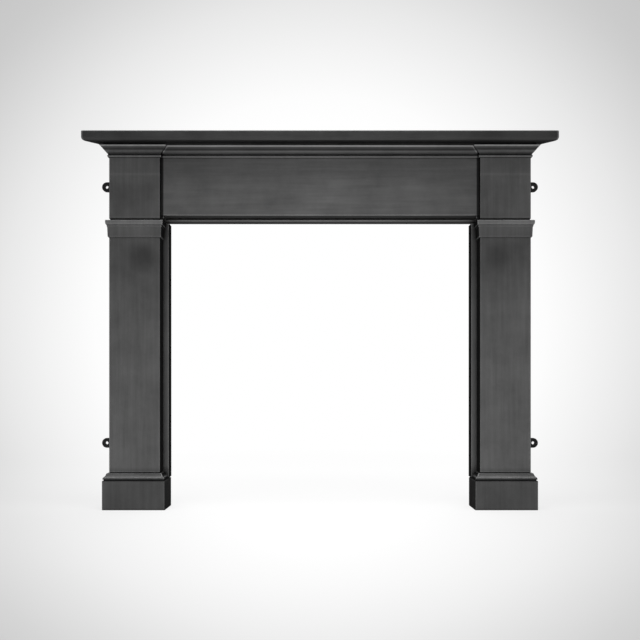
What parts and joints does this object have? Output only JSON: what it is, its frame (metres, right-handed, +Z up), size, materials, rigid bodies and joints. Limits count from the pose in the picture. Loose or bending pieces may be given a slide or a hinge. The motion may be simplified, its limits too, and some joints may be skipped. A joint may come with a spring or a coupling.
{
  "type": "cast iron fireplace surround",
  "caption": "Cast iron fireplace surround with plain pilasters, corner blocks, a flat frieze, a returned cornice and a mantel shelf over an open hearth.",
  "frame": {"origin": "on the floor, midway across the shelf and midway through its depth; the wall plane is 75 mm behind it", "axes": "+X to the right across the surround, +Y back into the wall, +Z up"},
  "size_m": [1.38, 0.15, 1.1055],
  "materials": {
    "cast_iron": "black graphite polish, satin",
    "fixing_steel": "dark zinc plate"
  },
  "bodies": {
    "root": {"right_jamb": "cast_iron", "left_jamb": "cast_iron", "frieze_panel": "cast_iron", "mantel_shelf": "cast_iron", "frieze_bolt_left_lower": "fixing_steel", "frieze_washer_left_lower": "fixing_steel", "frieze_nut_left_lower": "fixing_steel", "frieze_bolt_left_upper": "fixing_steel", "frieze_washer_left_upper": "fixing_steel", "frieze_nut_left_upper": "fixing_steel", "frieze_bolt_right_lower": "fixing_steel", "frieze_washer_right_lower": "fixing_steel", "frieze_nut_right_lower": "fixing_steel", "frieze_bolt_right_upper": "fixing_steel", "frieze_washer_right_upper": "fixing_steel", "frieze_nut_right_upper": "fixing_steel", "shelf_bolt_left_end": "fixing_steel", "shelf_washer_left_end": "fixing_steel", "shelf_bolt_left_middle": "fixing_steel", "shelf_washer_left_middle": "fixing_steel", "shelf_bolt_right_middle": "fixing_steel", "shelf_washer_right_middle": "fixing_steel", "shelf_bolt_right_end": "fixing_steel", "shelf_washer_right_end": "fixing_steel"}
  },
  "joints": []
}
